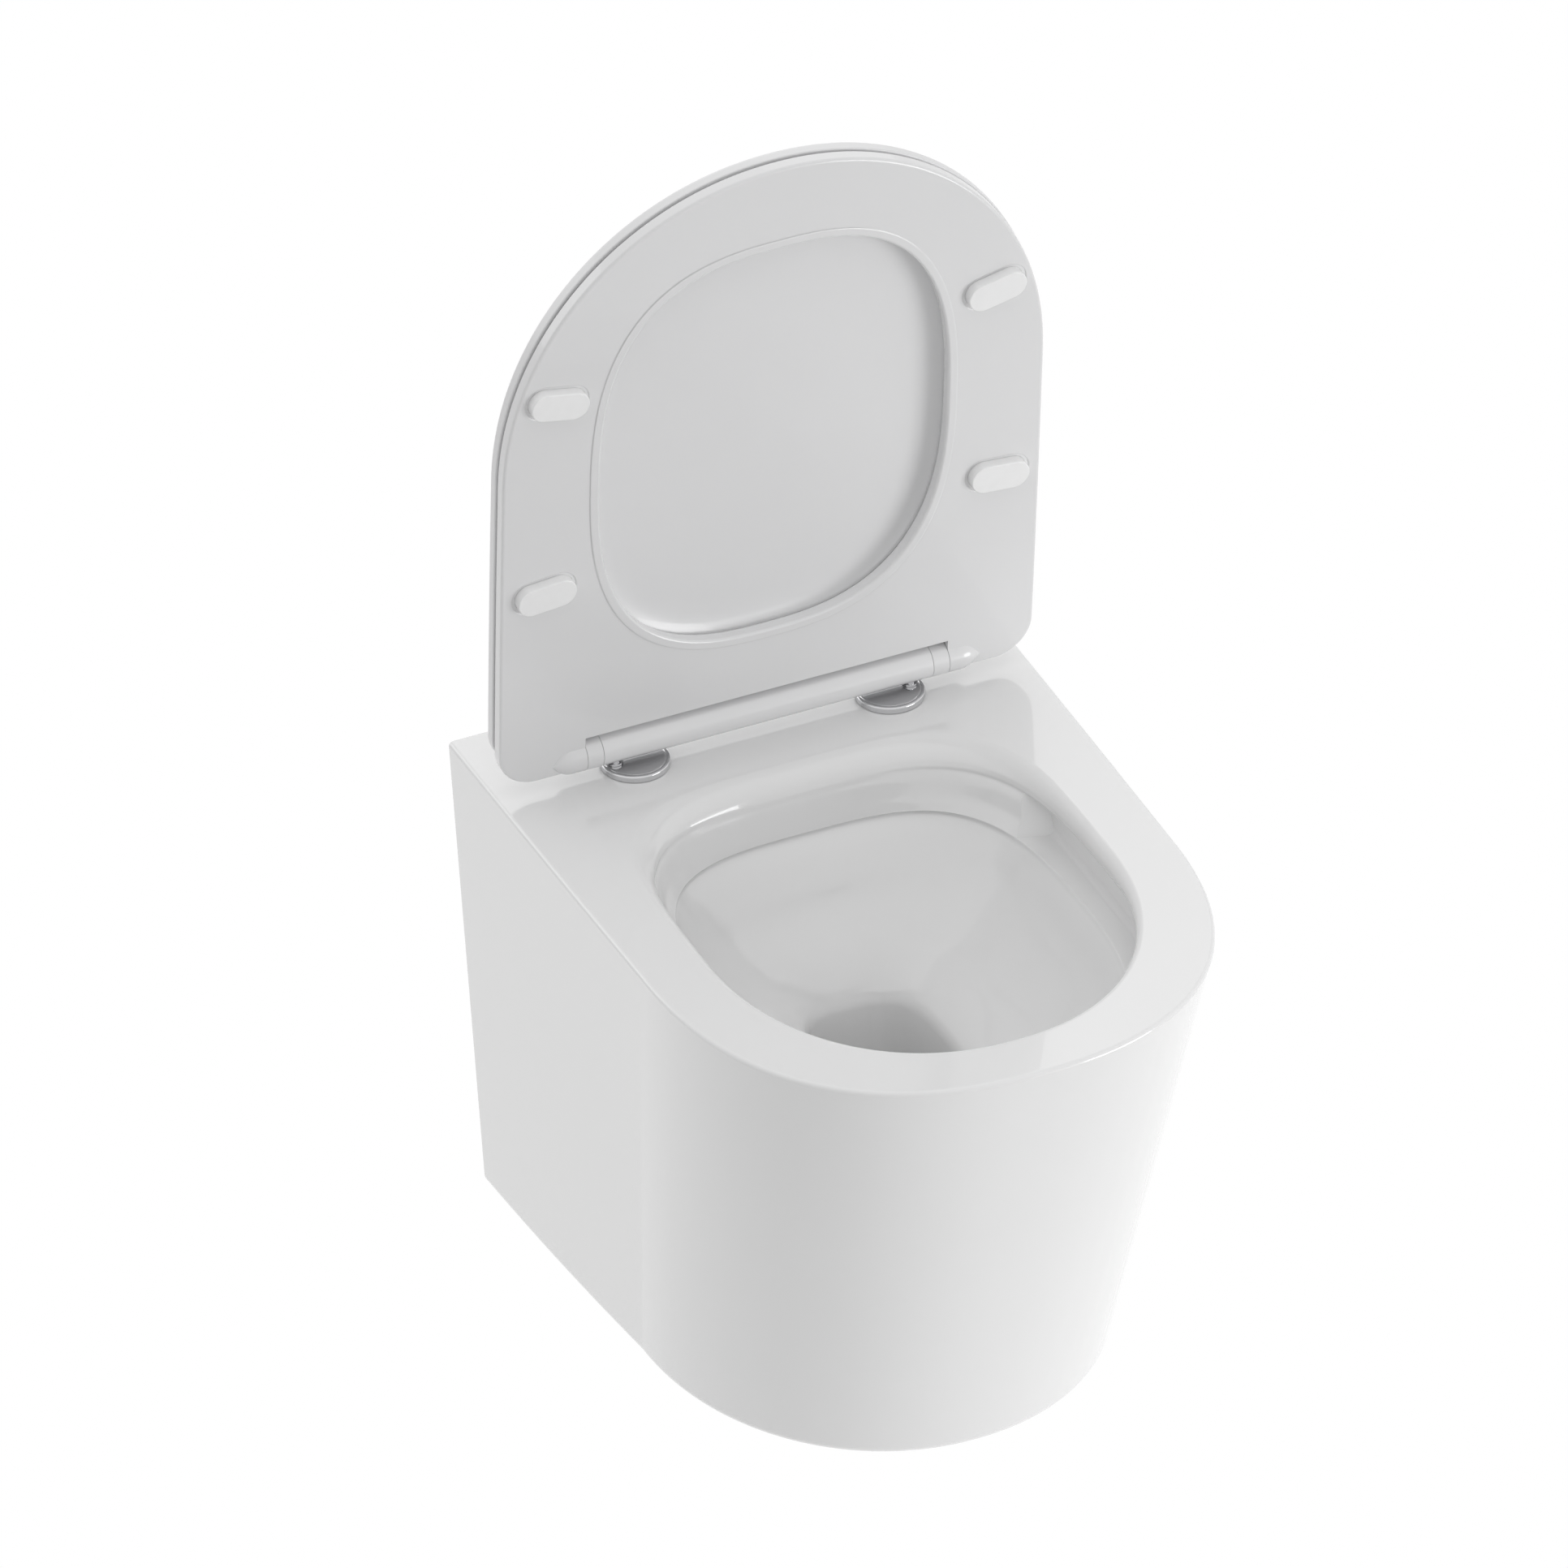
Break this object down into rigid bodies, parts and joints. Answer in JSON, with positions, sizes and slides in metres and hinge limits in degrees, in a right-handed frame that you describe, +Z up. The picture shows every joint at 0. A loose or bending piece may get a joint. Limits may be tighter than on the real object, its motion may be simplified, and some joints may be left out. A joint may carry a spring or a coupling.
{
  "type": "wall hung toilet",
  "caption": "Wall hung rimless toilet: a glazed ceramic pan with a concealed trap, and a slim soft close seat and lid on one hinge bar.",
  "frame": {"origin": "midway between the two wall fixing holes, on the wall plane", "axes": "+Y into the wall, +X to the right seen from the front, +Z up"},
  "size_m": [0.3636, 0.474, 0.7737],
  "materials": {
    "glazed_white": "glossy white glaze",
    "gloss_white": "glossy white moulded urea resin",
    "nylon": "natural nylon",
    "buffer": "soft white elastomer",
    "chrome": "polished chrome plate",
    "steel": "zinc plated or stainless steel",
    "rubber": "black rubber"
  },
  "bodies": {
    "pan": {"pan": "glazed_white", "flush_seal": "rubber", "wall_sleeves": "nylon", "wall_washers": "steel", "wall_nuts": "steel", "hinge_bar": "gloss_white", "bar_plug_left": "nylon", "bar_plug_right": "nylon", "damper_left": "nylon", "damper_right": "nylon", "hinge_post_left": "chrome", "hinge_post_right": "chrome", "cover_disc_left": "chrome", "cover_disc_right": "chrome", "base_plate_left": "steel", "base_plate_right": "steel", "disc_gasket_left": "rubber", "disc_gasket_right": "rubber", "seat_bolts": "steel", "deck_bushes": "rubber", "bolt_washers": "steel", "wing_nuts": "nylon"},
    "seat": {"seat_ring": "gloss_white", "seat_shaft": "steel", "seat_bush": "nylon", "seat_buffer_front_left": "buffer", "seat_buffer_front_right": "buffer", "seat_buffer_rear_left": "buffer", "seat_buffer_rear_right": "buffer"},
    "lid": {"lid": "gloss_white", "lid_shaft": "steel", "lid_bush": "nylon", "lid_buffer_left": "buffer", "lid_buffer_right": "buffer"}
  },
  "joints": [
    {"name": "seat_hinge", "type": "hinge", "parent": "pan", "child": "seat", "pos_m": [0, -0.071, 0.0983], "axis": [1, 0, 0], "range_deg": [-6, 87]},
    {"name": "lid_hinge", "type": "hinge", "parent": "seat", "child": "lid", "pos_m": [0, -0.071, 0.0983], "axis": [-1, 0, 0], "range_deg": [0, 90]}
  ]
}
